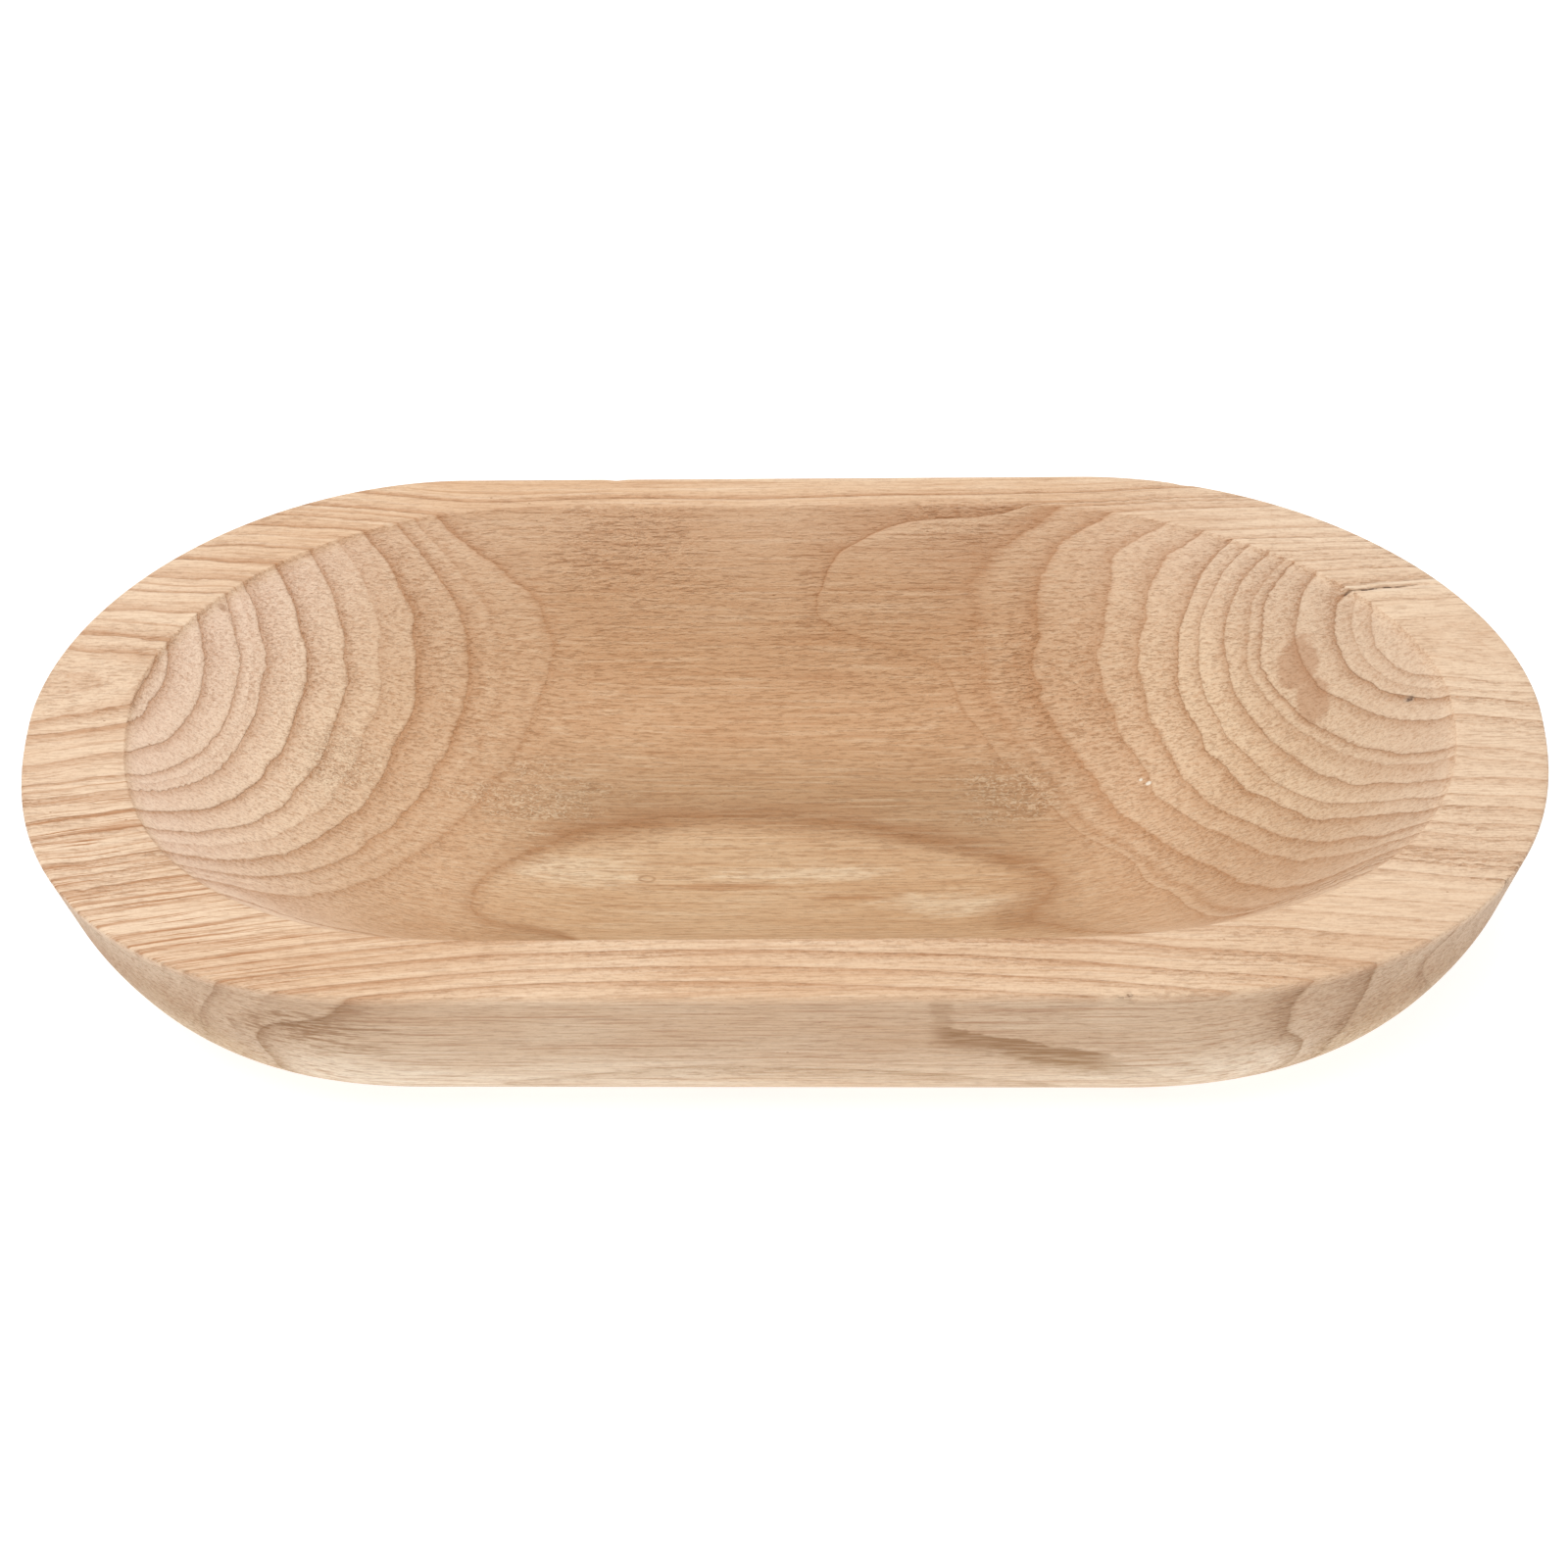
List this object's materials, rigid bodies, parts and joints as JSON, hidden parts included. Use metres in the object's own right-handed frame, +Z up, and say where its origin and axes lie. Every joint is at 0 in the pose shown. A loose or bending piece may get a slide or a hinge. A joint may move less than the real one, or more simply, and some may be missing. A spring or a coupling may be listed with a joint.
{
  "type": "dough bowl",
  "caption": "Long oval carved wooden bowl with a wide flat rim, a smooth scooped hollow and a flat base, for kneading, proving or serving.",
  "frame": {"origin": "middle of the flat base, on the surface that the bowl stands on", "axes": "+X along the length towards the right end, +Y across towards the back, +Z up out of the hollow"},
  "size_m": [0.5, 0.246, 0.075],
  "materials": {
    "wood": "bare pale wood, lightly sanded, with brown growth rings that stand a little proud of the softer wood between them"
  },
  "bodies": {
    "root": {"bowl": "wood"}
  },
  "joints": []
}
